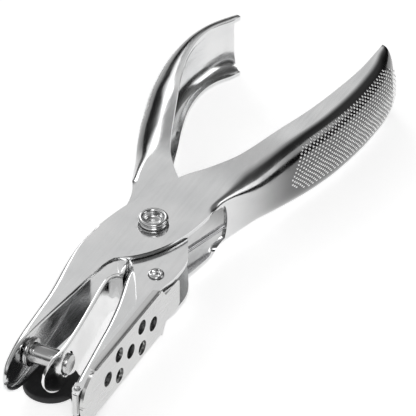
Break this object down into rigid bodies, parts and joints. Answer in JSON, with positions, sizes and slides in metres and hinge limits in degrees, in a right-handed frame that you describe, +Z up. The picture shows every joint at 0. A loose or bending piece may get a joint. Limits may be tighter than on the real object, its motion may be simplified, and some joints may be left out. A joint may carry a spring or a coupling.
{
  "type": "hole punch",
  "caption": "Plier-type single hole punch of pressed nickel-plated sheet steel, with flared grip handles, a stripper leaf and a perforated swing-open chip catcher.",
  "frame": {"origin": "middle of the footprint, on the surface that the punch lies on", "axes": "+Z up along the pivot axis, tool lying on its side; +X along the tool towards the handle ends, jaws at -X; +Y towards the die lever's handle"},
  "size_m": [0.1432, 0.053, 0.0178],
  "materials": {
    "nickel": "bright nickel plate over pressed sheet, fine forming marks, bright edges",
    "satin_steel": "ground and hardened steel, satin",
    "spring_steel": "drawn spring wire, lightly plated",
    "blued_steel": "blackened plate, semi-matt"
  },
  "bodies": {
    "die_lever": {"lower_lever": "nickel", "die_frame": "nickel", "die_bush": "satin_steel", "stripper_leaf": "nickel", "leaf_rivet": "nickel", "pivot_eyelet": "nickel", "pivot_sleeve": "satin_steel", "return_spring": "spring_steel", "catcher_hinge_pin": "satin_steel", "jaw_rivet": "nickel", "paper_stop": "blued_steel", "stop_rivet": "satin_steel"},
    "punch_lever": {"upper_lever": "nickel", "punch_pin": "satin_steel", "pin_collar": "satin_steel"},
    "catcher": {"catcher_lid": "nickel"}
  },
  "joints": [
    {"name": "lever_pivot", "type": "hinge", "parent": "die_lever", "child": "punch_lever", "pos_m": [-0.0124, -0.00133, 0.0089], "axis": [0, 0, 1], "range_deg": [0, 7.3], "stiffness_Nm_per_rad": 0.8, "springref_deg": -28.65, "deforming": ["return_spring"]},
    {"name": "catcher_hinge", "type": "hinge", "parent": "die_lever", "child": "catcher", "pos_m": [-0.0698, -0.01233, 0.0089], "axis": [0, 0, -1], "range_deg": [0, 85]}
  ]
}
